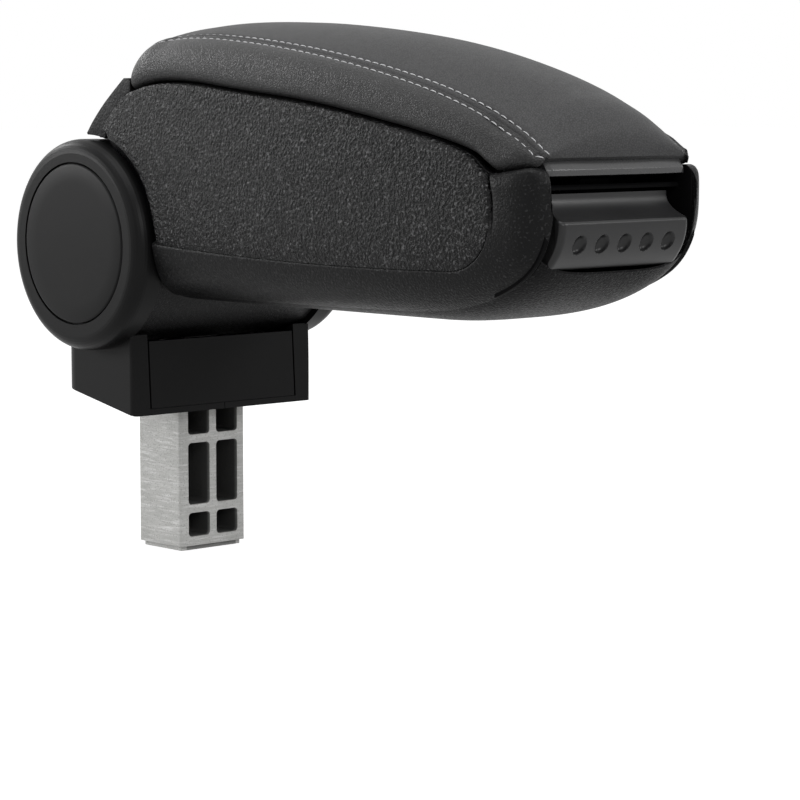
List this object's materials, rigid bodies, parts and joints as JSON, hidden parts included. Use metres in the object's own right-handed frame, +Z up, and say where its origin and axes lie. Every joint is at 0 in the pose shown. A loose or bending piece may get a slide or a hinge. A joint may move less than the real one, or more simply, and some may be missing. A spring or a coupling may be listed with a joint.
{
  "type": "car centre armrest",
  "caption": "Folding car centre armrest: padded opening lid over a storage tray, on a pivoting arm between round ears, with a die-cast stem that slides into a console holder.",
  "frame": {"origin": "axis of the stem where it meets the sloping underside of the base block", "axes": "+X across the car to the right when seen from the front end, -Y towards the padded arm's free end (the car's front), +Z up; the stem points along -Z"},
  "size_m": [0.124, 0.3062, 0.2284],
  "materials": {
    "cast_metal": "rough die-cast, speckled",
    "smooth_black": "smooth satin",
    "grained_black": "moulded grain",
    "coarse_grain": "coarse speckled grain",
    "leather": "fine grained upholstery leather",
    "inner_black": "plain moulded",
    "bright_steel": "turned",
    "bearing": "moulded"
  },
  "bodies": {
    "base": {"stem_casting": "cast_metal", "left_cheek": "smooth_black", "right_cheek": "smooth_black", "front_cover": "smooth_black", "rear_base_cover": "smooth_black", "left_cap": "smooth_black", "right_cap": "smooth_black", "axle": "bright_steel", "axle_nut": "bright_steel", "spring_washers": "bright_steel", "friction_washers": "bearing", "slot_shield": "inner_black", "base_screws": "bright_steel"},
    "arm": {"belly_shell": "grained_black", "pivot_drum": "grained_black", "barrel_bushes": "bearing", "hub_carrier": "bright_steel", "left_side_shell": "grained_black", "right_side_shell": "grained_black", "left_side_panel": "coarse_grain", "right_side_panel": "coarse_grain", "rear_cover": "grained_black", "storage_tray": "inner_black", "front_sill": "inner_black", "lid_hinge_pin": "bright_steel", "latch_pin": "bright_steel", "latch_spring": "bright_steel", "arm_screws": "bright_steel"},
    "lid": {"lid_base": "inner_black", "lid_pad": "leather", "lid_lip": "smooth_black", "lid_striker": "inner_black", "lid_screws": "bright_steel"},
    "latch": {"latch_paddle": "smooth_black"}
  },
  "joints": [
    {"name": "arm_swing", "type": "hinge", "parent": "base", "child": "arm", "pos_m": [0, 0.0022, 0.0688], "axis": [-1, 0, 0], "range_deg": [0, 90]},
    {"name": "lid_hinge", "type": "hinge", "parent": "arm", "child": "lid", "pos_m": [0, -0.0293, 0.1408], "axis": [-1, 0, 0], "range_deg": [0, 70]},
    {"name": "latch_press", "type": "hinge", "parent": "arm", "child": "latch", "pos_m": [0, -0.2408, 0.0673], "axis": [-1, 0, 0], "range_deg": [0, 6], "stiffness_Nm_per_rad": 0.8, "springref_deg": -6.88, "deforming": ["latch_spring"]}
  ]
}
